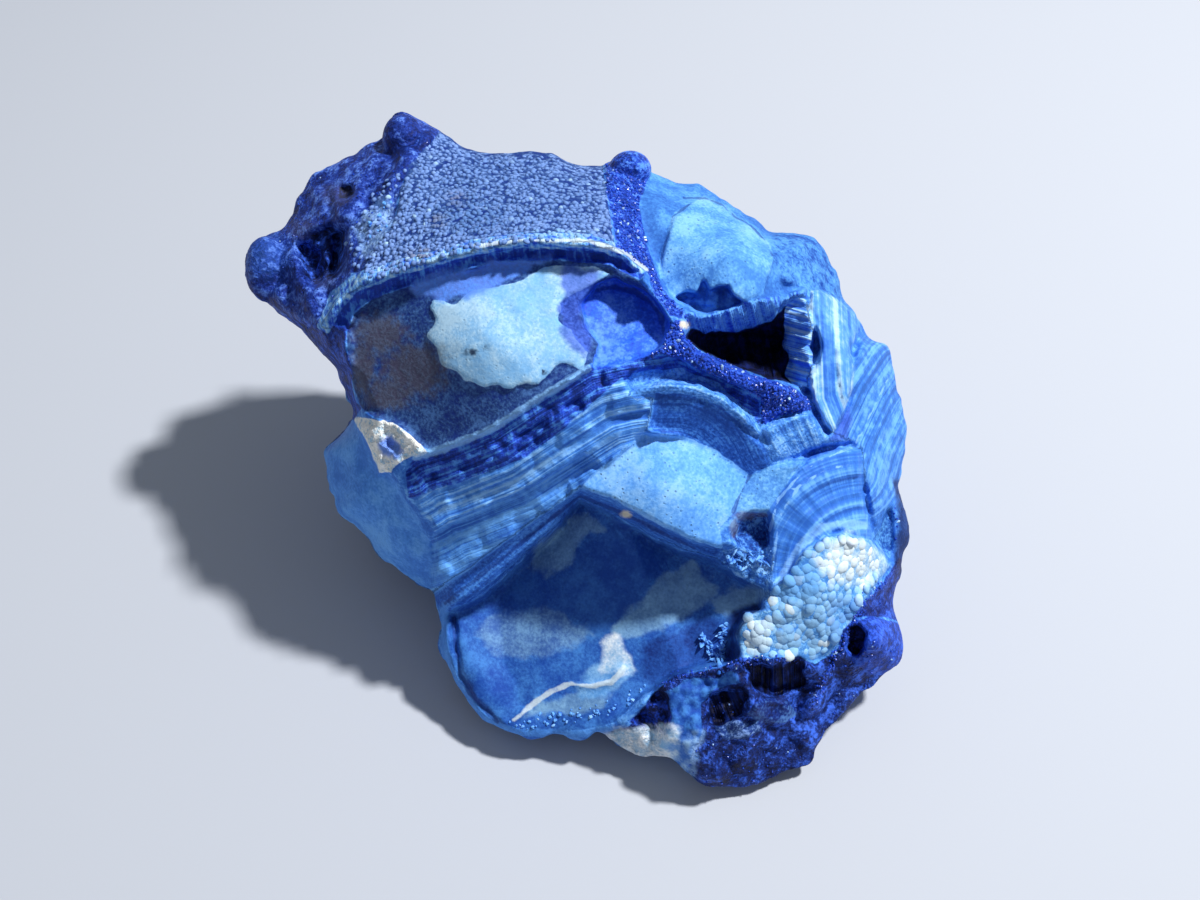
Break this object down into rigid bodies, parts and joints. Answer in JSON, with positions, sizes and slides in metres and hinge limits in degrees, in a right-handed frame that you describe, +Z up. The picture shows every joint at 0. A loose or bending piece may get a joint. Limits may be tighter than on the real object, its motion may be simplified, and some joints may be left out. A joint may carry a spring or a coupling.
{
  "type": "azurite specimen",
  "caption": "Broken nodule of banded azurite: a pebbled shoulder, a smooth lens, layered ledges, a hollow lined with shells and a dark crystalline crust, resting on a flat break",
  "frame": {"origin": "a point on the flat broken base, near the middle of the specimen's plan", "axes": "+X across the best face to its right, +Y away from the viewer of that face, +Z up"},
  "size_m": [0.0706, 0.0596, 0.0467],
  "materials": {
    "azurite": "earthy matt azure blue in layers, with dark sparkling crust and pale crusted patches"
  },
  "bodies": {
    "root": {"azurite_specimen": "azurite"}
  },
  "joints": []
}
